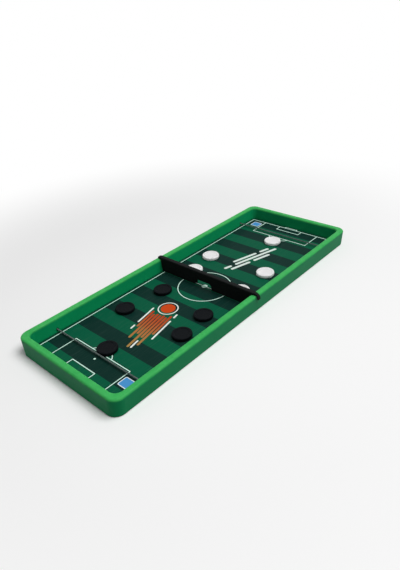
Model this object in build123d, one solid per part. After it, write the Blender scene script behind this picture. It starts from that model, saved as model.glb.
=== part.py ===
from build123d import *
import os
from math import atan2, degrees, radians, tan

# Tabletop sling puck game for two players: a long shallow moulded tray with a
# printed playing sheet, a lift-off divider with one gate in the middle, an
# elastic cord across each end and ten loose pucks, five dark and five pale.
# Origin: on the table, under the centre of the tray. X runs across the tray,
# Y along it from the near end to the far end, Z up. Millimetres.

# Driving dimensions: the playing surface
court_length = 413.0
court_width = 147.0
court_corner = 7.0
surface_height = 5.5
rim_height = 17.0

# The moulded tray
wall = 2.0
wall_lean = 1.4
rim_width = 8.3
rim_round = 2.6
outer_corner = 12.0
side_lean = 2.0
end_flare = 0.8
skirt_lift = 0.8
floor_thickness = 2.0
rib_thickness = 1.5
rib_lift = 1.2
rib_rows = 9
rib_columns = 3
side_web_shares = (-0.75, -0.5, -0.25, 0.0, 0.25, 0.5, 0.75)
end_web_shares = (-0.5, 0.0, 0.5)

# The printed sheet
sheet_thickness = 1.0
sheet_gap = 0.3

# The elastic slings
cord_diameter = 2.3
cord_height = 3.0
draw_room = 34.5
cord_hole_gap = 0.8
knot_diameter = 5.6
knot_length = 3.6
knot_round = 1.6
knot_gap = 0.1
tail_length = 6.5

# The pucks
puck_diameter = 23.4
puck_thickness = 4.5
puck_edge = 1.1
puck_lip = 2.6
puck_recess = 0.7
slide_gap = 0.2

# The divider
divider_thickness = 6.0
divider_rise = 3.2
divider_wall = 1.8
divider_edge = 1.2
divider_gap = 0.4
end_gap = 0.5
shoulder_reach = 3.2
hook_gap = 0.3
hook_width = 4.4
hook_thickness = 2.3
hook_drop = 4.6
hook_step = 0.5
hook_round = 6.0
hook_edge = 0.5
lip_reach = 5.8
lip_round = 1.8
core_cells = 3
gate_width = 28.0
gate_height = 8.5
gate_round = 4.5

# The feet
foot_diameter = 12.0
foot_thickness = 1.5
foot_edge = 0.4
foot_inset = 13.0
boss_margin = 1.2

# Working allowance by which a cutting tool overruns what it cuts
overrun = 5.0

# Where the pucks lie: shares of half the court's width and half its length, and two
# pucks that lie close to the near sling and to the divider
near_puck_shares = ((-0.582, -0.468), (-0.479, -0.194), (0.585, -0.248), (0.653, -0.449))
far_puck_shares = ((-0.593, 0.308), (-0.506, 0.104), (0.029, 0.722), (0.624, 0.331))
divider_puck_share = 0.62
divider_puck_gap = 0.7

# Worked out from the driving dimensions
floor_top = surface_height - sheet_thickness
floor_under = floor_top - floor_thickness
rim_top = surface_height + rim_height
wall_angle = degrees(atan2(wall_lean, rim_top - floor_top))
rim_opening_width = court_width + 2 * wall_lean
tray_width = rim_opening_width + 2 * rim_width
tray_length = court_length + 2 * wall_lean + 2 * rim_width
cord_axis_height = surface_height + cord_height
sling_line = court_length / 2 - draw_room


def court_half_width(height):
    """Distance from the centre line to the court's side wall at a height."""
    return court_width / 2 + (height - floor_top) * tan(radians(wall_angle))


def block(width, length, corner, bottom, top, angle):
    """Block with rounded corners whose sides lean outwards by an angle as they rise."""
    outline = Pos(0, 0, bottom) * RectangleRounded(width, length, corner)
    return extrude(outline, amount=top - bottom, taper=-angle)


def outer_block(inset, top):
    """Block inside the skirt's outside by an inset: its sides lean in, its ends flare out."""
    corner = outer_corner - inset
    low = Pos(0, 0, skirt_lift) * RectangleRounded(
        tray_width - 2 * (inset + side_lean), tray_length - 2 * (inset - end_flare), corner)
    high = Pos(0, 0, top) * RectangleRounded(tray_width - 2 * inset, tray_length - 2 * inset, corner)
    return loft([low, high], ruled=True)


def tray():
    """One moulding: floor, leaning inner walls, rounded rim, outer skirt, ribs underneath."""
    shell = outer_block(0, rim_top)
    shell -= block(court_width, court_length, court_corner, floor_top, rim_top, wall_angle)
    shell = fillet(shell.edges().group_by(Axis.Z)[-1], rim_round)
    shell -= rim_channel()
    shell -= underside()
    for side in (-1, 1):
        for line in (-sling_line, sling_line):
            bore = Cylinder(cord_diameter / 2 + cord_hole_gap, 2 * wall + wall_lean)
            shell -= Pos(side * (court_half_width(cord_axis_height) + wall / 2), line,
                         cord_axis_height) * Rot(Y=90) * bore
    return shell


def rim_channel():
    """The hollow under the rim, between the inner walls and the skirt, crossed by webs."""
    hollow = outer_block(wall, rim_top - wall)
    margin = wall - (floor_top - skirt_lift) * tan(radians(wall_angle))
    hollow -= block(court_width + 2 * margin, court_length + 2 * margin,
                    court_corner + margin, skirt_lift, rim_top, wall_angle)
    web_height = rim_top - rib_lift
    middle = rib_lift + web_height / 2
    for share in side_web_shares:
        hollow -= Pos(0, share * sling_line, middle) * Box(tray_width, rib_thickness, web_height)
    for share in end_web_shares:
        place = share * court_width / 2
        hollow -= Pos(place, 0, middle) * Box(rib_thickness, tray_length, web_height)
    return hollow


def underside():
    """The hollow under the floor, crossed by a grid of ribs and the bosses of the feet."""
    hollow = block(court_width, court_length, court_corner, skirt_lift, floor_under, 0)
    rib_height = floor_under - rib_lift
    middle = rib_lift + rib_height / 2
    row_pitch = court_length / (rib_rows + 1)
    column_pitch = court_width / (rib_columns + 1)
    for row in range(rib_rows):
        place = (row - (rib_rows - 1) / 2) * row_pitch
        hollow -= Pos(0, place, middle) * Box(court_width, rib_thickness, rib_height)
    for column in range(rib_columns):
        place = (column - (rib_columns - 1) / 2) * column_pitch
        hollow -= Pos(place, 0, middle) * Box(rib_thickness, court_length, rib_height)
    boss_height = floor_under - foot_thickness
    for x, y in foot_places():
        hollow -= Pos(x, y, foot_thickness + boss_height / 2) * Cylinder(
            foot_diameter / 2 + boss_margin, boss_height)
    return hollow


def playing_sheet():
    """Stiff printed sheet that lies on the tray's floor, edge to edge."""
    return block(court_width - 2 * sheet_gap, court_length - 2 * sheet_gap,
                 court_corner - sheet_gap, floor_top, surface_height, 0)


def foot_places():
    """Centres of the four feet, near the corners of the floor."""
    across = court_width / 2 - foot_inset
    along = court_length / 2 - foot_inset
    return [(x, y) for y in (-along, along) for x in (-across, across)]


def foot():
    """Round grip pad, stuck to its boss."""
    pad = Pos(0, 0, foot_thickness / 2) * Cylinder(foot_diameter / 2, foot_thickness)
    return fillet(pad.edges().group_by(Axis.Z)[0], foot_edge)


def sling():
    """Elastic cord stretched straight across the court, between the side walls."""
    length = 2 * court_half_width(cord_axis_height)
    return Rot(Y=90) * Cylinder(cord_diameter / 2, length)


def sling_end():
    """Right-hand end of a sling: the cord through the wall, its knot and its loose tail."""
    face = court_half_width(cord_axis_height)
    seat = face + wall + knot_gap
    knot_radius = knot_diameter / 2
    knot = Pos(seat + knot_length / 2, 0, 0) * Rot(Y=90) * Cylinder(knot_radius, knot_length)
    knot = fillet(knot.edges().filter_by(GeomType.CIRCLE), knot_round)
    stem_length = seat + knot_length / 2 - face
    stem = Pos(face + stem_length / 2, 0, 0) * Rot(Y=90) * Cylinder(cord_diameter / 2, stem_length)
    tail = Pos(seat + knot_length / 2, 0, -tail_length / 2) * Cylinder(
        cord_diameter / 2, tail_length)
    return knot + stem + tail


def puck():
    """Round puck, the same both ways up: a rounded edge, a raised lip, a shallow dished face."""
    radius = puck_diameter / 2
    disc = Pos(0, 0, puck_thickness / 2) * Cylinder(radius, puck_thickness)
    disc = fillet(disc.edges().filter_by(GeomType.CIRCLE), puck_edge)
    dish = Cone(radius - puck_lip - puck_recess, radius - puck_lip, puck_recess)
    disc -= Pos(0, 0, puck_thickness - puck_recess / 2) * dish
    disc -= Pos(0, 0, puck_recess / 2) * Rot(X=180) * dish
    return disc


def divider():
    """Bar across the middle: a gate at floor level, ends over the rim, a lip left and a hook right."""
    bottom = surface_height + divider_gap
    rest_height = rim_top + hook_gap
    top = rest_height + divider_rise
    end_low = court_half_width(bottom) - end_gap
    end_high = court_half_width(rim_top) - end_gap
    shoulder = rim_opening_width / 2 + shoulder_reach
    half = [(0, bottom), (end_low, bottom), (end_high, rest_height), (shoulder, rest_height),
            (shoulder, top)]
    outline = half + [(-x, z) for x, z in reversed(half[1:])]
    bar = extrude(make_face(Plane.XZ * Polyline(*outline, close=True)),
                  amount=divider_thickness / 2, both=True)
    bar = fillet(bar.edges().group_by(Axis.Z)[-1], divider_edge)
    bar -= gate()
    for side in (-1, 1):
        for place, length in core_places(end_low):
            depth = rest_height - divider_wall - bottom
            bar -= Pos(side * place, 0, bottom + depth / 2) * Box(
                length, divider_thickness - 2 * divider_wall, depth)
    left_lip = mirror(lip(shoulder, rest_height, top - hook_step), Plane.YZ)
    return bar + hook(shoulder, rest_height, top - hook_step) + left_lip


def lip(shoulder, bottom, top):
    """Short arm narrower than the bar, which ends on top of the rim, drawn at the right-hand end."""
    root = shoulder - divider_thickness / 2
    end = rim_opening_width / 2 + lip_reach
    arm = Pos((root + end) / 2, 0, (bottom + top) / 2) * Box(end - root, hook_width, top - bottom)
    return round_arm(arm, shoulder, lip_round)


def hook(shoulder, bottom, top):
    """Right-hand hook: an arm narrower than the bar, over the rim and down outside the skirt."""
    lip_bottom = rim_top - hook_drop
    inside = tray_width / 2 + hook_gap
    outside = inside + hook_thickness
    root = shoulder - divider_thickness / 2
    outline = [(root, bottom), (inside, bottom), (inside, lip_bottom), (outside, lip_bottom),
               (outside, top), (root, top)]
    arm = extrude(make_face(Plane.XZ * Polyline(*outline, close=True)),
                  amount=hook_width / 2, both=True)
    return round_arm(arm, shoulder, hook_round)


def round_arm(arm, shoulder, corner_round):
    """An arm with a large rounding at its outer top corner and a small one on its other edges."""
    corner = arm.edges().filter_by(Axis.Y).group_by(Axis.X)[-1].sort_by(Axis.Z)[-1]
    arm = fillet(corner, corner_round)
    return fillet(arm.edges().filter_by(lambda edge: edge.center().X > shoulder), hook_edge)


def gate():
    """Tool that cuts the gate: open at the floor, with rounded upper corners."""
    middle = surface_height + gate_height / 2
    opening = Pos(0, 0, middle) * Box(gate_width, divider_thickness + overrun, gate_height)
    return fillet(opening.edges().filter_by(Axis.Y).group_by(Axis.Z)[-1], gate_round)


def core_places(end):
    """Centre and length of each hollow between the gate and one end of the bar."""
    start = gate_width / 2 + divider_wall
    pitch = (end - start) / core_cells
    return [(start + (cell + 0.5) * pitch - divider_wall / 2, pitch - divider_wall)
            for cell in range(core_cells)]


def puck_at(share_across, share_along):
    """A puck on the sheet at shares of half the court's width and half its length."""
    return Pos(share_across * court_width / 2, share_along * court_length / 2,
               surface_height + slide_gap) * puck()


def loaded_puck():
    """The puck that lies against the near sling, in line with the gate."""
    place = -sling_line + cord_diameter / 2 + slide_gap + puck_diameter / 2
    return Pos(0, place, surface_height + slide_gap) * puck()


def divider_puck():
    """The puck that lies close behind the divider, to the right of its gate."""
    place = divider_thickness / 2 + divider_puck_gap + puck_diameter / 2
    return Pos(divider_puck_share * court_width / 2, place, surface_height + slide_gap) * puck()


pieces = {
    "tray": tray(),
    "playing_sheet": playing_sheet(),
    "divider": divider(),
    "near_sling": Pos(0, -sling_line, cord_axis_height) * sling(),
    "far_sling": Pos(0, sling_line, cord_axis_height) * sling(),
}
right_end = sling_end()
left_end = mirror(right_end, Plane.YZ)
for end_name, line in (("near", -sling_line), ("far", sling_line)):
    for side_name, end in (("left", left_end), ("right", right_end)):
        pieces[f"{end_name}_{side_name}_sling_end"] = Pos(0, line, cord_axis_height) * end
for number, (x, y) in enumerate(foot_places(), start=1):
    pieces[f"foot_{number}"] = Pos(x, y, 0) * foot()
for number, shares in enumerate(near_puck_shares, start=1):
    pieces[f"black_puck_{number}"] = puck_at(*shares)
pieces["black_puck_5"] = loaded_puck()
for number, shares in enumerate(far_puck_shares, start=1):
    pieces[f"white_puck_{number}"] = puck_at(*shares)
pieces["white_puck_5"] = divider_puck()

os.makedirs("parts", exist_ok=True)
for name, shape in pieces.items():
    export_step(shape, f"parts/{name}.step")
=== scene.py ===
import bmesh
import bpy
from math import cos, pi, radians, sin, sqrt, tau
from mathutils import Matrix, Vector


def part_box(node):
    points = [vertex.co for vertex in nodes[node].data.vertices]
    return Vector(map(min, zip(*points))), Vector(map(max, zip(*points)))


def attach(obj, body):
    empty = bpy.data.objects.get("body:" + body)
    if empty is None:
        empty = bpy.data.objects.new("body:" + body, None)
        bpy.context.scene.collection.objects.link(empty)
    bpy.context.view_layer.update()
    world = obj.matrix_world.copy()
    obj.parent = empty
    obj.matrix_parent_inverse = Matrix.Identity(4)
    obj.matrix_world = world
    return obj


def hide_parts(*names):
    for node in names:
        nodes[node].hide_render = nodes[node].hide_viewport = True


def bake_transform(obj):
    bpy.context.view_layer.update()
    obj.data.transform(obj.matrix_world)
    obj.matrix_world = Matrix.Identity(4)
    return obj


# A sling puck game: moulded green tray, printed pitch, black divider, braided
# elastic slings and ten pucks, seen from the right-hand near corner. Metres
# throughout, with sizes written in millimetres and turned by MM.

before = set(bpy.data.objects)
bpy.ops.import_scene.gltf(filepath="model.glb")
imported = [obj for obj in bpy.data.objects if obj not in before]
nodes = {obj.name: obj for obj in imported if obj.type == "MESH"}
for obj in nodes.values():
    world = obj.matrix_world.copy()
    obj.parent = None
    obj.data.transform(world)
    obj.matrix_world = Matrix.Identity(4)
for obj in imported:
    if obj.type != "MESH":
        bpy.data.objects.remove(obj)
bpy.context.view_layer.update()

MM = 0.001

# The camera: the point it looks at, its distance, its turns in degrees and its lens
CAMERA_AIM = (-2.3 * MM, -5.8 * MM, 9.5 * MM)
CAMERA_DISTANCE = 615.1 * MM
CAMERA_AZIMUTH = 43.89
CAMERA_ELEVATION = 31.55
CAMERA_ROLL = -4.56
CAMERA_LENS = 30.6
CAMERA_SENSOR = 36
CAMERA_CLIP = 10 * MM

# The lamps: places in metres, power in watts. The key is a soft square, the other a weak wide spot
# that lifts the near end of the tray
KEY_PLACE = (0.95, 0.47, 2.28)
KEY_AIM = (0.0, 0.0, 0.0)
KEY_SIZE = 1.5
KEY_POWER = 51
NEAR_LAMP_PLACE = (0.2, -0.25, 0.9)
NEAR_LAMP_AIM = (0.0, -0.15, 0.0)
NEAR_LAMP_POWER = 3.5
NEAR_LAMP_ANGLE = 38
NEAR_LAMP_SIZE = 0.25

# The white studio: the share of it that lights the tray, the table's size in metres, and between
# which distances the table melts into it
STUDIO_LIGHT = 0.22
TABLE_RADIUS = 12.0
MELT_START = 0.26
MELT_END = 0.6

# The pitch printed on the sheet, measured from its centre
GOAL_LINE = 201 * MM
SIDE_LINE = 68.8 * MM
LINE_WIDTH = 1.15 * MM
LINE_OUTLINE = 0.8 * MM
CIRCLE_RADIUS = 34.2 * MM
CENTRE_SPOT_RADIUS = 3.8 * MM
PENALTY_HALF_WIDTH = 45.4 * MM
PENALTY_FRONT = 167.2 * MM
PENALTY_SPOT = 176.8 * MM
PENALTY_SPOT_RADIUS = 1.3 * MM
PENALTY_ARC_RADIUS = 18.6 * MM
GOAL_AREA_HALF_WIDTH = 18.8 * MM
GOAL_AREA_FRONT = 191.4 * MM
GOAL_HALF_WIDTH = 10.0 * MM
GOAL_BACK = 203.6 * MM
STRIPE_WIDTH = 20.72 * MM
STRIPE_START = -190.2 * MM

# Every straight line of a quarter of the pitch: x and y of its start, then of its end
PITCH_LINES = (
    (SIDE_LINE, 0, SIDE_LINE, GOAL_LINE),
    (0, GOAL_LINE, SIDE_LINE, GOAL_LINE),
    (0, 0, SIDE_LINE, 0),
    (PENALTY_HALF_WIDTH, PENALTY_FRONT, PENALTY_HALF_WIDTH, GOAL_LINE),
    (0, PENALTY_FRONT, PENALTY_HALF_WIDTH, PENALTY_FRONT),
    (GOAL_AREA_HALF_WIDTH, GOAL_AREA_FRONT, GOAL_AREA_HALF_WIDTH, GOAL_LINE),
    (0, GOAL_AREA_FRONT, GOAL_AREA_HALF_WIDTH, GOAL_AREA_FRONT),
    (GOAL_HALF_WIDTH, GOAL_LINE, GOAL_HALF_WIDTH, GOAL_BACK),
    (0, GOAL_BACK, GOAL_HALF_WIDTH, GOAL_BACK),
)

# Plain blue patches in two corners of the pitch: x, y and turn in degrees, then half of their
# straight sides, the radius of their corners and the width of their white border
PATCHES = ((55.5 * MM, -180.7 * MM, 0), (-55.2 * MM, 188.5 * MM, 0))
PATCH_HALF = (5.0 * MM, 4.4 * MM, 0)
PATCH_CORNER = 1.2 * MM
PATCH_BORDER = 1.0 * MM

# The disc with speed bars on the near half: its x, y and turn in degrees. A bar is its place
# across, its start and its end, in millimetres. The bars' colour warms between the flame's ends
NEAR_MOTIF = (4 * MM, -98 * MM, 11)
NEAR_DISC = (0, 35 * MM, 0)
NEAR_DISC_RADIUS = 9.0 * MM
NEAR_RING_RADIUS = 12.0 * MM
NEAR_RING_HALF_WIDTH = 0.7 * MM
NEAR_BARS = (
    (-12.6, -9, 22), (-8.4, -30, 17), (-4.2, -20, 19), (0, -44, 18),
    (4.2, -24, 19), (8.4, -37, 17), (12.6, -14, 22),
)
NEAR_BAR_HALF_WIDTH = 1.5 * MM
NEAR_WHITE_BARS = (
    (-16.8, -2, 28), (-16.8, -16, -10), (16.8, -22, 14), (16.8, 22, 28), (4.2, -44, -32),
)
NEAR_WHITE_HALF_WIDTH = 1.1 * MM
FLAME_START = -44 * MM
FLAME_END = 22 * MM

# The white speed bars on the far half, given in the same way
FAR_MOTIF = (5 * MM, 94 * MM, -16)
FAR_BARS = ((-7.2, -24, 12), (-7.2, 22, 34), (0, -44, -36), (0, -26, 42), (7.2, -38, -10), (7.2, 0, 24))
FAR_BAR_HALF_WIDTH = 2.1 * MM

# The braided elastic: its radius, the strands each way round it, the length of one crossing along
# it and the depth of its grooves, then the sides and the step of its mesh
CORD_RADIUS = 0.9 * MM
BRAID_STRANDS = 6
BRAID_LENGTH = 1.8 * MM
BRAID_DEPTH = 0.16 * MM
BRAID_SIDES = 48
BRAID_STEP = 0.25 * MM
FIBRES_PER_STRAND = 5

# The stopper knots in the hollow rim: how far behind the court's side of the wall they sit, their
# length across the tray, the turns of cord in them and the tail that hangs from them
KNOT_RADIUS = 2.75 * MM
KNOT_SEAT = 2.1 * MM
KNOT_LENGTH = 3.6 * MM
KNOT_TURNS = 1.75
KNOT_TAIL = 4.6 * MM
KNOT_STEPS = 60

# Over this many turns the cord swings out from the hole to the knot's full radius
KNOT_SWING = 0.35

# A distance in metres that is past everything printed on the sheet
FAR_AWAY = 1.0

# Sizes of what shows on the green polypropylene: clouds in the colour, patches rubbed by hands and
# the heights between which they start, which are also where the painted highlight of the upper walls
# and rim begins, scuffs, grain and the depth of both
GREEN_CLOUD = 40 * MM
GREEN_RUBBED_PATCH = 9 * MM
GREEN_HIGHLIGHT_AND_RUB_FROM = 19 * MM
GREEN_HIGHLIGHT_AND_RUB_TO = 22 * MM
GREEN_SCUFF = 0.8 * MM
GREEN_GRAIN = 0.45 * MM
GREEN_DEPTH = 0.03 * MM

# The same for the ABS: scuffs, knocks along the edges, rings from the turned mould, grain and depth,
# and how far light spreads inside where the ABS is white
ABS_SCUFF = 0.5 * MM
ABS_KNOCK = 2.2 * MM
ABS_RING = 0.55 * MM
ABS_GRAIN = 0.4 * MM
ABS_DEPTH = 0.02 * MM
ABS_GLOW = 5.0 * MM

# For the printed sheet: streaks where pucks slide, grain of the laminate and depth
SHEET_STREAK = 0.9 * MM
SHEET_GRAIN = 0.6 * MM
SHEET_DEPTH = 0.01 * MM

# For the cord's fibres and the rubber pads, whose dust lies near the table
FIBRE_DEPTH = 0.04 * MM
PAD_DUST = 1.5 * MM
PAD_DUST_TOP = 0.8 * MM
PAD_GRAIN = 0.35 * MM
PAD_DEPTH = 0.04 * MM

# A scratch's width as a share of its length
SCRATCH_SHAPE = 0.03

# The pucks' ABS: its colour, hex colours when new and when worn, specular level and glow. Each puck
# is turned on from the one before it, in degrees, so that no two have the same scratches
PUCK_ABS = (
    ("black", "#0C0F12", "#24262A", 0.03, 0.0),
    ("white", "#F4F2F3", "#D2D0CF", 0.3, 1.0),
)
PUCK_ROUGHNESS = 0.48
PUCK_TURN = 67
PUCKS_A_SIDE = 5

# Wave Texture has this many radians to one of its own units
WAVE_RADIANS = 20


def hex_linear(colour):
    """An sRGB hex colour as linear red, green, blue and alpha."""
    parts = [int(colour[i:i + 2], 16) / 255 for i in (1, 3, 5)]
    return [c / 12.92 if c <= 0.04045 else ((c + 0.055) / 1.055) ** 2.4 for c in parts] + [1.0]


def add(tree, kind, inputs=None, take=0, **settings):
    """Adds a node with its settings and links, and gives back one of its outputs, if it has any.

    A number stands for a socket where names repeat: 1 and 2 of Map Range are the range it reads, 3
    and 4 the one it gives, and 6 and 7 of a colour Mix are its two colours.
    """
    made = tree.nodes.new("ShaderNode" + kind)
    for name, value in settings.items():
        setattr(made, name, value)
    for socket, value in (inputs or {}).items():
        if isinstance(value, bpy.types.NodeSocket):
            tree.links.new(value, made.inputs[socket])
        else:
            made.inputs[socket].default_value = value
    return made.outputs[take] if made.outputs else made


def new_material(name):
    """An empty node material and its tree."""
    material = bpy.data.materials.new(name)
    material.use_nodes = True
    material.node_tree.nodes.clear()
    return material, material.node_tree


def dress(names, material):
    """Puts a material on CAD nodes."""
    for name in names:
        for slot in nodes[name].material_slots:
            slot.material = material


def scratches(tree, place, width, turns, low, high):
    """Mask of long fine scratches in several directions, where noise drawn out along each passes a level."""
    worst = 0.0
    for turn in turns:
        along = add(tree, "Mapping", {
            "Vector": place, "Rotation": (0, 0, radians(turn)), "Scale": (1, SCRATCH_SHAPE, 1)})
        streak = add(tree, "TexNoise", {"Vector": along, "Scale": 1 / width, "Detail": 2.0})
        mark = add(tree, "MapRange", {"Value": streak, 1: low, 2: high})
        worst = add(tree, "Math", {0: worst, 1: mark}, operation="MAXIMUM")
    return worst


def rounded_edges(tree, low, high):
    """Mask of rounded edges, where the surface faces between level and upright."""
    facing = add(tree, "SeparateXYZ", {0: add(tree, "TexCoord", take="Normal")}, take="Z")
    tilt = add(tree, "Math", {0: facing}, operation="ABSOLUTE")
    middle = add(tree, "Math", {0: tilt, 1: 0.5, 2: 0.5}, operation="PINGPONG")
    folded = add(tree, "Math", {0: middle, 1: 2.0}, operation="MULTIPLY")
    return add(tree, "MapRange", {"Value": folded, 1: low, 2: high}, interpolation_type="SMOOTHSTEP")


def green_polypropylene():
    """Injection-moulded polypropylene from a spark-eroded mould.

    It gives a soft satin sheen over a fine even grain, faint clouds in the colour, a painted highlight
    that colours the rim and upper walls lighter and the lower walls darker, patches on the rim that hands
    have rubbed paler and smoother, and a few soft scuffs.
    """
    material, tree = new_material("moulded green polypropylene")
    place = add(tree, "TexCoord", take="Object")
    height = add(tree, "SeparateXYZ", {0: place}, take="Z")
    clouds = add(tree, "TexNoise", {"Vector": place, "Scale": 1 / GREEN_CLOUD, "Detail": 3.0})
    patchy = add(tree, "TexNoise", {"Vector": place, "Scale": 1 / GREEN_RUBBED_PATCH, "Detail": 4.0})
    handled = add(tree, "MapRange", {"Value": patchy, 1: 0.35, 2: 0.7})
    # Painted highlight: above these heights the tray is coloured lighter, below them darker, for how the
    # light falls on the rim and the walls
    painted_highlight_and_rub_band = add(tree, "MapRange", {"Value": height, 1: GREEN_HIGHLIGHT_AND_RUB_FROM, 2: GREEN_HIGHLIGHT_AND_RUB_TO},
                   interpolation_type="SMOOTHSTEP")
    rubbed = add(tree, "Math", {0: painted_highlight_and_rub_band, 1: handled}, operation="MULTIPLY")
    # Painted highlight and shade: the lower walls get the darker green, the rim the lighter one
    colour = add(tree, "Mix", {0: painted_highlight_and_rub_band, 6: hex_linear("#0B935B"), 7: hex_linear("#38A955")},
                 take=2, data_type="RGBA")
    colour = add(tree, "Mix", {0: rubbed, 6: colour, 7: hex_linear("#44B35E")}, take=2, data_type="RGBA")
    tone = add(tree, "MapRange", {"Value": clouds, 1: 0.3, 2: 0.7, 3: 0.96, 4: 1.04})
    colour = add(tree, "HueSaturation", {"Color": colour, "Value": tone})
    scuffs = scratches(tree, place, GREEN_SCUFF, (12, 78, 131), 0.62, 0.78)
    rough = add(tree, "MapRange", {"Value": scuffs, 3: 0.44, 4: 0.56})
    rough = add(tree, "Math", {0: rubbed, 1: -0.08, 2: rough}, operation="MULTIPLY_ADD")
    grain = add(tree, "TexNoise", {"Vector": place, "Scale": 1 / GREEN_GRAIN, "Detail": 2.0})
    relief = add(tree, "Math", {0: scuffs, 1: -0.4, 2: grain}, operation="MULTIPLY_ADD")
    skin = add(tree, "Bump", {"Height": relief, "Strength": 0.5, "Distance": GREEN_DEPTH})
    surface = add(tree, "BsdfPrincipled", {
        "Base Color": colour, "Roughness": rough, "Normal": skin, "IOR": 1.49, "Specular IOR Level": 0.08})
    add(tree, "OutputMaterial", {"Surface": surface})
    return material


def moulded_abs(name, colour, worn, centre, turn, roughness, specular, glow=0.0):
    """Injection-moulded ABS, scuffed by sliding.

    It gives a dull, slightly glossy skin with faint rings from the turned mould, fine scratches in
    all directions and paler or greyer rounded edges where pieces knock together. White ABS also
    glows a little, because light spreads inside it and comes out at its sides.
    """
    material, tree = new_material(name)
    place = add(tree, "TexCoord", take="Object")
    centred = add(tree, "Mapping", {"Vector": place, "Location": [-c for c in centre]})
    turned = add(tree, "Mapping", {"Vector": centred, "Rotation": (0, 0, radians(turn))})
    scuffs = scratches(tree, turned, ABS_SCUFF, (0, 55, 112), 0.6, 0.8)
    speckle = add(tree, "TexNoise", {"Vector": turned, "Scale": 1 / ABS_KNOCK, "Detail": 5.0})
    knocked = add(tree, "MapRange", {"Value": speckle, 1: 0.42, 2: 0.62})
    edges = add(tree, "Math", {0: rounded_edges(tree, 0.25, 0.9), 1: knocked}, operation="MULTIPLY")
    wear = add(tree, "Math", {0: scuffs, 1: 0.5, 2: edges}, operation="MULTIPLY_ADD", use_clamp=True)
    amount = add(tree, "Math", {0: wear, 1: 0.55}, operation="MULTIPLY")
    colour = add(tree, "Mix", {0: amount, 6: hex_linear(colour), 7: hex_linear(worn)},
                 take=2, data_type="RGBA")
    rough = add(tree, "MapRange", {"Value": wear, 3: roughness, 4: roughness + 0.15})
    rings = add(tree, "TexWave", {"Vector": centred, "Scale": tau / WAVE_RADIANS / ABS_RING}, take="Fac",
                wave_type="RINGS", rings_direction="Z")
    grain = add(tree, "TexNoise", {"Vector": turned, "Scale": 1 / ABS_GRAIN, "Detail": 2.0})
    relief = add(tree, "Math", {0: rings, 1: 0.25, 2: grain}, operation="MULTIPLY_ADD")
    relief = add(tree, "Math", {0: scuffs, 1: -0.8, 2: relief}, operation="MULTIPLY_ADD")
    skin = add(tree, "Bump", {"Height": relief, "Strength": 0.5, "Distance": ABS_DEPTH})
    surface = add(tree, "BsdfPrincipled", {
        "Base Color": colour, "Roughness": rough, "Normal": skin, "IOR": 1.53, "Specular IOR Level": specular,
        "Subsurface Weight": glow, "Subsurface Radius": (1.0, 1.0, 1.0), "Subsurface Scale": ABS_GLOW})
    add(tree, "OutputMaterial", {"Surface": surface})
    return material


def dress_pucks():
    """Puts ABS on each puck, with the rings of the turned mould round its own middle."""
    for number in range(1, PUCKS_A_SIDE + 1):
        for colour, base, worn, specular, glow in PUCK_ABS:
            puck = f"{colour}_puck_{number}"
            low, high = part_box(puck)
            material = moulded_abs(f"moulded {colour} ABS {puck}", base, worn, (low + high) / 2,
                                   PUCK_TURN * number, PUCK_ROUGHNESS, specular, glow)
            dress([puck], material)


def strokes(tree, place, rows):
    """Distance to the nearest of several straight strokes along x or y, each given by its two ends."""
    nearest = FAR_AWAY
    for x0, y0, x1, y1 in rows:
        middle = ((x0 + x1) / 2, (y0 + y1) / 2, 0)
        half = (abs(x1 - x0) / 2, abs(y1 - y0) / 2, 0)
        offset = add(tree, "VectorMath", {0: place, 1: middle}, operation="SUBTRACT")
        folded = add(tree, "VectorMath", {0: offset}, operation="ABSOLUTE")
        beyond = add(tree, "VectorMath", {0: folded, 1: half}, operation="SUBTRACT")
        outside = add(tree, "VectorMath", {0: beyond, 1: (0, 0, 0)}, operation="MAXIMUM")
        away = add(tree, "VectorMath", {0: outside}, take="Value", operation="LENGTH")
        nearest = add(tree, "Math", {0: nearest, 1: away}, operation="MINIMUM")
    return nearest


def bars(tree, place, rows, half_width):
    """Mask of round-ended bars side by side."""
    ends = [(across * MM, start * MM, across * MM, end * MM) for across, start, end in rows]
    return add(tree, "Math", {0: strokes(tree, place, ends), 1: half_width}, operation="LESS_THAN")


def from_point(tree, place, point):
    """Distance to a point."""
    offset = add(tree, "VectorMath", {0: place, 1: point}, operation="SUBTRACT")
    return add(tree, "VectorMath", {0: offset}, take="Value", operation="LENGTH")


def pitch_markings(tree, folded):
    """Distance to the middle of the nearest pitch line or arc. A spot's edge counts as a line's edge."""
    along = add(tree, "SeparateXYZ", {0: folded}, take="Y")
    nearest = strokes(tree, folded, PITCH_LINES)
    arcs = ((0, CIRCLE_RADIUS, GOAL_LINE), (PENALTY_SPOT, PENALTY_ARC_RADIUS, PENALTY_FRONT))
    for centre, radius, limit in arcs:
        away = from_point(tree, folded, (0, centre, 0))
        off_ring = add(tree, "Math", {0: away, 1: radius}, operation="SUBTRACT")
        off_ring = add(tree, "Math", {0: off_ring}, operation="ABSOLUTE")
        past = add(tree, "Math", {0: along, 1: limit}, operation="SUBTRACT")
        arc = add(tree, "Math", {0: off_ring, 1: past}, operation="MAXIMUM")
        nearest = add(tree, "Math", {0: nearest, 1: arc}, operation="MINIMUM")
    for centre, radius in ((0, CENTRE_SPOT_RADIUS), (PENALTY_SPOT, PENALTY_SPOT_RADIUS)):
        away = from_point(tree, folded, (0, centre, 0))
        spot = add(tree, "Math", {0: away, 1: radius - LINE_WIDTH / 2}, operation="SUBTRACT")
        nearest = add(tree, "Math", {0: nearest, 1: spot}, operation="MINIMUM")
    return nearest


def motif_place(tree, flat, motif):
    """Coordinates of a printed motif, from its own centre and along its own axis."""
    x, y, turn = motif
    return add(tree, "Mapping", {"Vector": flat, "Location": (x, y, 0), "Rotation": (0, 0, radians(turn))},
               vector_type="TEXTURE")


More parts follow.
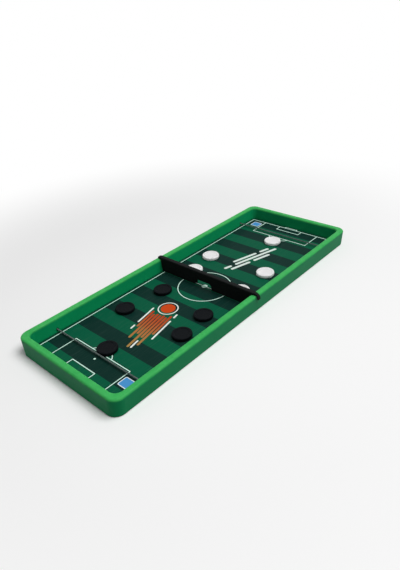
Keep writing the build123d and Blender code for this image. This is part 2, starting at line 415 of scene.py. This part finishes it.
def mown_grass(tree, flat, folded):
    """Light and dark mowing stripes inside the side lines, and outside them a plain green printed darker as
    painted shade from the walls.
    """
    along = add(tree, "SeparateXYZ", {0: flat}, take="Y")
    start = add(tree, "Math", {0: along, 1: STRIPE_START}, operation="SUBTRACT")
    count = add(tree, "Math", {0: start, 1: 2 * STRIPE_WIDTH}, operation="DIVIDE")
    share = add(tree, "Math", {0: count}, operation="FRACT")
    dark = add(tree, "Math", {0: share, 1: 0.5}, operation="LESS_THAN")
    stripes = add(tree, "Mix", {0: dark, 6: hex_linear("#06563C"), 7: hex_linear("#0B2C26")},
                  take=2, data_type="RGBA")
    beyond = add(tree, "VectorMath", {0: folded, 1: (SIDE_LINE, GOAL_LINE, 0)}, operation="SUBTRACT")
    past = add(tree, "SeparateXYZ", {0: beyond}, take="X")
    past_end = add(tree, "SeparateXYZ", {0: beyond}, take="Y")
    furthest = add(tree, "Math", {0: past, 1: past_end}, operation="MAXIMUM")
    outside = add(tree, "Math", {0: furthest, 1: 0.0}, operation="GREATER_THAN")
    # Painted shade: the margin along the walls is printed a darker green, for the shade the walls throw on it
    return add(tree, "Mix", {0: outside, 6: stripes, 7: hex_linear("#083F2C")}, take=2, data_type="RGBA")


def printed_sheet():
    """Offset print on a stiff polypropylene sheet, under a matt laminate.

    It gives flat, dense inks with crisp edges, a skin with hardly any gloss, and faint pale streaks
    along the tray where the pucks slide.
    """
    material, tree = new_material("offset print under matt laminate")
    place = add(tree, "TexCoord", take="Object")
    flat = add(tree, "VectorMath", {0: place, 1: (1, 1, 0)}, operation="MULTIPLY")
    folded = add(tree, "VectorMath", {0: flat}, operation="ABSOLUTE")
    near = motif_place(tree, flat, NEAR_MOTIF)
    far = motif_place(tree, flat, FAR_MOTIF)

    marking = pitch_markings(tree, folded)
    outline = add(tree, "Math", {0: marking, 1: LINE_WIDTH / 2 + LINE_OUTLINE}, operation="LESS_THAN")
    line = add(tree, "Math", {0: marking, 1: LINE_WIDTH / 2}, operation="LESS_THAN")

    reach = add(tree, "SeparateXYZ", {0: near}, take="Y")
    heat = add(tree, "MapRange", {"Value": reach, 1: FLAME_START, 2: FLAME_END})
    flame = add(tree, "Mix", {0: heat, 6: hex_linear("#A8844A"), 7: hex_linear("#B8391A")},
                take=2, data_type="RGBA")
    disc_away = from_point(tree, near, NEAR_DISC)
    disc = add(tree, "Math", {0: disc_away, 1: NEAR_DISC_RADIUS}, operation="LESS_THAN")
    ring = add(tree, "Math", {0: disc_away, 1: NEAR_RING_RADIUS, 2: NEAR_RING_HALF_WIDTH},
               operation="COMPARE")

    patch_away = FAR_AWAY
    for patch in PATCHES:
        side = add(tree, "VectorMath", {0: motif_place(tree, flat, patch)}, operation="ABSOLUTE")
        over = add(tree, "VectorMath", {0: side, 1: PATCH_HALF}, operation="SUBTRACT")
        over = add(tree, "VectorMath", {0: over, 1: (0, 0, 0)}, operation="MAXIMUM")
        away = add(tree, "VectorMath", {0: over}, take="Value", operation="LENGTH")
        patch_away = add(tree, "Math", {0: patch_away, 1: away}, operation="MINIMUM")
    border = add(tree, "Math", {0: patch_away, 1: PATCH_CORNER + PATCH_BORDER}, operation="LESS_THAN")
    patch = add(tree, "Math", {0: patch_away, 1: PATCH_CORNER}, operation="LESS_THAN")

    colour = mown_grass(tree, flat, folded)
    layers = (
        (outline, hex_linear("#061C17")),
        (line, hex_linear("#D2F8E8")),
        (bars(tree, near, NEAR_BARS, NEAR_BAR_HALF_WIDTH), flame),
        (bars(tree, near, NEAR_WHITE_BARS, NEAR_WHITE_HALF_WIDTH), hex_linear("#E9EFE9")),
        (ring, hex_linear("#E9EFE9")),
        (disc, hex_linear("#C8481A")),
        (bars(tree, far, FAR_BARS, FAR_BAR_HALF_WIDTH), hex_linear("#DCE9E2")),
        (border, hex_linear("#E4EEF4")),
        (patch, hex_linear("#4C94CF")),
    )
    for mask, ink in layers:
        colour = add(tree, "Mix", {0: mask, 6: colour, 7: ink}, take=2, data_type="RGBA")

    slides = scratches(tree, place, SHEET_STREAK, (-4, 3), 0.58, 0.82)
    pale = add(tree, "Math", {0: slides, 1: 0.07}, operation="MULTIPLY")
    colour = add(tree, "Mix", {0: pale, 6: colour, 7: hex_linear("#8FA89C")}, take=2, data_type="RGBA")
    rough = add(tree, "MapRange", {"Value": slides, 3: 0.5, 4: 0.62})
    film = add(tree, "TexNoise", {"Vector": place, "Scale": 1 / SHEET_GRAIN, "Detail": 2.0})
    relief = add(tree, "Math", {0: slides, 1: -0.5, 2: film}, operation="MULTIPLY_ADD")
    skin = add(tree, "Bump", {"Height": relief, "Strength": 0.4, "Distance": SHEET_DEPTH})
    surface = add(tree, "BsdfPrincipled", {
        "Base Color": colour, "Roughness": rough, "Normal": skin, "IOR": 1.5, "Specular IOR Level": 0.03})
    add(tree, "OutputMaterial", {"Surface": surface})
    return material


def braided_elastic():
    """Rubber cores in a braided polyester sleeve.

    It gives a dull grey cord whose strands cross in small diamonds, with painted shade that darkens the
    grooves between them, fine fibres along each strand and a faint bloom at the edges. The braid is
    drawn coarser than real, so that it shows.
    """
    material, tree = new_material("braided elastic")
    braid = add(tree, "UVMap", uv_map="braid")
    cells = add(tree, "SeparateXYZ", {0: braid}, take="X")
    turns = add(tree, "SeparateXYZ", {0: braid}, take="Y")
    right = add(tree, "Math", {0: cells, 1: turns}, operation="ADD")
    left = add(tree, "Math", {0: cells, 1: turns}, operation="SUBTRACT")
    dome, cell_sum = 1.0, 0.0
    fibres = []
    for lay in (right, left):
        wave = add(tree, "Math", {0: lay, 1: pi}, operation="MULTIPLY")
        wave = add(tree, "Math", {0: wave}, operation="SINE")
        dome = add(tree, "Math", {0: dome, 1: wave}, operation="MULTIPLY")
        cell = add(tree, "Math", {0: lay}, operation="FLOOR")
        cell_sum = add(tree, "Math", {0: cell_sum, 1: cell}, operation="ADD")
        fibre = add(tree, "Math", {0: lay, 1: tau * FIBRES_PER_STRAND}, operation="MULTIPLY")
        fibres.append(add(tree, "Math", {0: fibre}, operation="SINE"))
    dome = add(tree, "Math", {0: dome}, operation="ABSOLUTE")
    over = add(tree, "Math", {0: cell_sum, 1: 1.0}, operation="PINGPONG")
    fibre = add(tree, "Mix", {0: over, 2: fibres[0], 3: fibres[1]})
    # Painted shade: the grooves between the strands are coloured darker, as shade falls in them
    strand = add(tree, "MapRange", {"Value": dome, 1: 0.0, 2: 0.6})
    colour = add(tree, "Mix", {0: strand, 6: hex_linear("#323837"), 7: hex_linear("#6A7674")},
                 take=2, data_type="RGBA")
    tone = add(tree, "MapRange", {"Value": fibre, 1: -1.0, 2: 1.0, 3: 0.82, 4: 1.12})
    colour = add(tree, "HueSaturation", {"Color": colour, "Value": tone})
    skin = add(tree, "Bump", {"Height": fibre, "Strength": 0.5, "Distance": FIBRE_DEPTH})
    surface = add(tree, "BsdfPrincipled", {
        "Base Color": colour, "Normal": skin, "Roughness": 0.8, "Specular IOR Level": 0.2,
        "Sheen Weight": 0.15, "Sheen Roughness": 0.5})
    add(tree, "OutputMaterial", {"Surface": surface})
    return material


def pad_rubber():
    """Moulded rubber pads: matt, slightly dusty where they touch the table."""
    material, tree = new_material("moulded pad rubber")
    place = add(tree, "TexCoord", take="Object")
    height = add(tree, "SeparateXYZ", {0: place}, take="Z")
    dust = add(tree, "TexNoise", {"Vector": place, "Scale": 1 / PAD_DUST, "Detail": 6.0})
    low = add(tree, "MapRange", {"Value": height, 1: 0.0, 2: PAD_DUST_TOP, 3: 0.7, 4: 0.1})
    amount = add(tree, "Math", {0: dust, 1: low}, operation="MULTIPLY")
    colour = add(tree, "Mix", {0: amount, 6: hex_linear("#1B1B1C"), 7: hex_linear("#4A4845")},
                 take=2, data_type="RGBA")
    grain = add(tree, "TexNoise", {"Vector": place, "Scale": 1 / PAD_GRAIN, "Detail": 3.0})
    skin = add(tree, "Bump", {"Height": grain, "Strength": 0.6, "Distance": PAD_DEPTH})
    surface = add(tree, "BsdfPrincipled", {
        "Base Color": colour, "Normal": skin, "Roughness": 0.85, "Specular IOR Level": 0.25})
    add(tree, "OutputMaterial", {"Surface": surface})
    return material


def braid_height(along, angle):
    """How high the braid stands at a place, from 0 in a groove to 1 on a strand."""
    cells, turns = along / BRAID_LENGTH, BRAID_STRANDS * angle / tau
    return sqrt(abs(sin(pi * (cells + turns)) * sin(pi * (cells - turns))))


def angle_round(vert):
    """Where a point lies round a cord that runs along X, from its top."""
    return Vector((vert.co.y, vert.co.z)).angle_signed(Vector((0, 1)), 0.0)


def straight_cord(start, end):
    """Braided cord along X between two places, with its relief and its braid coordinates."""
    cord = bmesh.new()
    bmesh.ops.create_cone(cord, segments=BRAID_SIDES, radius1=CORD_RADIUS, radius2=CORD_RADIUS,
                          depth=end - start, cap_ends=True)
    long_edges = [e for e in cord.edges if abs(e.verts[0].co.z - e.verts[1].co.z) > CORD_RADIUS]
    bmesh.ops.subdivide_edges(cord, edges=long_edges, cuts=round((end - start) / BRAID_STEP))
    bmesh.ops.rotate(cord, verts=cord.verts, matrix=Matrix.Rotation(pi / 2, 3, "Y"))
    bmesh.ops.translate(cord, verts=cord.verts, vec=((start + end) / 2, 0, 0))
    layer = cord.loops.layers.uv.new("braid")
    for face in cord.faces:
        angles = [angle_round(loop.vert) % tau for loop in face.loops]
        wraps = max(angles) - min(angles) > pi
        for loop, angle in zip(face.loops, angles):
            turned = angle + tau if wraps and angle < pi else angle
            loop[layer].uv = (loop.vert.co.x / BRAID_LENGTH, BRAID_STRANDS * turned / tau)
    for vert in cord.verts:
        share = 1 - BRAID_DEPTH / CORD_RADIUS * (1 - braid_height(vert.co.x, angle_round(vert)))
        vert.co.y *= share
        vert.co.z *= share
    return cord


def show(name, shape, material):
    """Turns a finished bmesh into a smooth piece."""
    bmesh.ops.recalc_face_normals(shape, faces=shape.faces)
    mesh = bpy.data.meshes.new(name)
    shape.to_mesh(mesh)
    shape.free()
    mesh.shade_smooth()
    mesh.materials.append(material)
    piece = bpy.data.objects.new(name, mesh)
    bpy.context.scene.collection.objects.link(piece)
    return piece


def make_slings(elastic):
    """Each sling as a left and a right half of straight braided cord."""
    for end in ("near", "far"):
        low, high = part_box(f"{end}_sling")
        middle = (low + high) / 2
        for side, sign in (("left", -1), ("right", 1)):
            start, stop = sorted((0, sign * high.x))
            half = straight_cord(start, stop)
            bmesh.ops.translate(half, verts=half.verts, vec=(0, middle.y, middle.z))
            piece = show(f"{end}_sling_{side}_half", half, elastic)
            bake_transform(piece)
            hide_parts(f"{end}_sling")


def knot_path():
    """Middle line of a right-hand stopper knot, from the wall: through it, round itself and down."""
    radius = KNOT_RADIUS - CORD_RADIUS
    turn_back = KNOT_SEAT + KNOT_LENGTH - CORD_RADIUS
    pitch = (KNOT_LENGTH - 2 * CORD_RADIUS) / KNOT_TURNS
    path = [Vector((KNOT_SEAT * share, 0, 0)) for share in (0, 0.5, 1)]
    for step in range(KNOT_STEPS + 1):
        turns = KNOT_TURNS * step / KNOT_STEPS
        spread = min(1, turns / KNOT_SWING)
        swing = radius * spread * spread * (3 - 2 * spread)
        angle = tau * (turns - KNOT_TURNS)
        path.append(Vector((turn_back - pitch * turns, swing * cos(angle), -swing * sin(angle))))
    path.append(path[-1] - Vector((0, 0, KNOT_TAIL)))
    return path


def sweep_cord(path):
    """Braided cord bent along a path."""
    lengths = [0.0]
    for first, second in zip(path, path[1:]):
        lengths.append(lengths[-1] + (second - first).length)
    cord = straight_cord(0, lengths[-1])
    axes = []
    direction, upright = Vector((1, 0, 0)), Vector((0, 0, 1))
    for before, after in zip([path[0]] + path[:-1], path[1:] + [path[-1]]):
        tangent = (after - before).normalized()
        upright = (direction.rotation_difference(tangent) @ upright).normalized()
        direction = tangent
        axes.append((upright.cross(tangent), upright))
    for vert in cord.verts:
        place = max(i for i, length in enumerate(lengths[:-1]) if length <= max(vert.co.x, 0))
        share = (vert.co.x - lengths[place]) / (lengths[place + 1] - lengths[place])
        middle = path[place].lerp(path[place + 1], share)
        across = axes[place][0].lerp(axes[place + 1][0], share)
        upright = axes[place][1].lerp(axes[place + 1][1], share)
        vert.co = middle + across * vert.co.y + upright * vert.co.z
    return cord


def make_knots(elastic):
    """A stopper knot behind the wall at each end of each sling."""
    for end in ("near", "far"):
        low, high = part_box(f"{end}_sling")
        middle = (low + high) / 2
        for side, sign in (("left", -1), ("right", 1)):
            knot = sweep_cord(knot_path())
            bmesh.ops.translate(knot, verts=knot.verts, vec=(high.x, middle.y, middle.z))
            bmesh.ops.scale(knot, verts=knot.verts, vec=(sign, 1, 1))
            piece = show(f"{end}_{side}_sling_knot", knot, elastic)
            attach(piece, "base")
            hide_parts(f"{end}_{side}_sling_end")


def seen(tree):
    """Mask of the rays that show the background: straight to the eye, by a gloss or through glass."""
    rays = add(tree, "LightPath").node.outputs
    straight = add(tree, "Math", {0: rays["Is Camera Ray"], 1: rays["Is Glossy Ray"]}, operation="MAXIMUM")
    return add(tree, "Math", {0: straight, 1: rays["Is Transmission Ray"]}, operation="MAXIMUM")


def pale_table():
    """Matt pale table top, far from the tray a white background.

    It gives a plain ground that keeps the tray's shadow and throws little light on the tray's sides.
    """
    material, tree = new_material("pale table")
    shown = seen(tree)
    colour = add(tree, "Mix", {0: shown, 6: hex_linear("#626262"), 7: hex_linear("#FBFBFB")},
                 take=2, data_type="RGBA")
    table = add(tree, "BsdfDiffuse", {"Color": colour})
    white = add(tree, "MapRange", {"Value": shown, 3: STUDIO_LIGHT, 4: 1.0})
    backdrop = add(tree, "Emission", {"Color": hex_linear("#FFFFFF"), "Strength": white})
    away = from_point(tree, add(tree, "TexCoord", take="Object"), (0, 0, 0))
    melt = add(tree, "MapRange", {"Value": away, 1: MELT_START, 2: MELT_END},
               interpolation_type="SMOOTHSTEP")
    surface = add(tree, "MixShader", {0: melt, 1: table, 2: backdrop})
    add(tree, "OutputMaterial", {"Surface": surface})
    return material


def make_floor():
    """Round table top under the feet."""
    shape = bmesh.new()
    bmesh.ops.create_circle(shape, cap_ends=True, segments=64, radius=TABLE_RADIUS)
    mesh = bpy.data.meshes.new("floor")
    shape.to_mesh(mesh)
    shape.free()
    mesh.materials.append(pale_table())
    floor = bpy.data.objects.new("floor", mesh)
    bpy.context.scene.collection.objects.link(floor)


def make_lamp(name, kind, place, aim, power, **settings):
    """Lamp at a place, turned towards its aim."""
    lamp = bpy.data.lights.new(name, kind)
    lamp.energy = power
    for setting, value in settings.items():
        setattr(lamp, setting, value)
    light = bpy.data.objects.new(name, lamp)
    light.location = place
    light.rotation_euler = (Vector(place) - Vector(aim)).to_track_quat("Z", "Y").to_euler()
    bpy.context.scene.collection.objects.link(light)


def make_world():
    """White studio: seen as white, while the light it gives stays low."""
    world = bpy.data.worlds.new("studio")
    world.use_nodes = True
    bpy.context.scene.world = world
    tree = world.node_tree
    tree.nodes.clear()
    strength = add(tree, "MapRange", {"Value": seen(tree), 3: STUDIO_LIGHT, 4: 1.0})
    sky = add(tree, "Background", {"Color": hex_linear("#FFFFFF"), "Strength": strength})
    add(tree, "OutputWorld", {"Surface": sky})


def make_camera():
    """Camera at the photograph's angle: to the right of the near end, looking down along the tray."""
    azimuth, elevation = radians(CAMERA_AZIMUTH), radians(CAMERA_ELEVATION)
    back = Vector((sin(azimuth) * cos(elevation), -cos(azimuth) * cos(elevation), sin(elevation)))
    camera = bpy.data.cameras.new("camera")
    camera.sensor_width = CAMERA_SENSOR
    camera.lens = CAMERA_LENS
    camera.clip_start = CAMERA_CLIP
    holder = bpy.data.objects.new("camera", camera)
    holder.rotation_mode = "QUATERNION"
    holder.location = Vector(CAMERA_AIM) + back * CAMERA_DISTANCE
    roll = Matrix.Rotation(radians(CAMERA_ROLL), 3, "Z").to_quaternion()
    holder.rotation_quaternion = (-back).to_track_quat("-Z", "Y") @ roll
    bpy.context.scene.collection.objects.link(holder)
    bpy.context.scene.camera = holder


make_camera()
cord_elastic = braided_elastic()
make_slings(cord_elastic)
make_knots(cord_elastic)

dress(["tray"], green_polypropylene())
dress(["playing_sheet"], printed_sheet())
dress(["divider"], moulded_abs("moulded black ABS divider", "#181A1A", "#262828", centre=(0, 0, 0),
                               turn=20, roughness=0.55, specular=0.03))
dress_pucks()
dress([name for name in nodes if name.startswith("foot_")], pad_rubber())

make_floor()
make_lamp("key", "AREA", KEY_PLACE, KEY_AIM, KEY_POWER, shape="SQUARE", size=KEY_SIZE)
make_lamp("near lamp", "SPOT", NEAR_LAMP_PLACE, NEAR_LAMP_AIM, NEAR_LAMP_POWER,
          spot_size=radians(NEAR_LAMP_ANGLE), spot_blend=1.0, shadow_soft_size=NEAR_LAMP_SIZE)
make_world()
bpy.context.scene.view_settings.view_transform = "Standard"
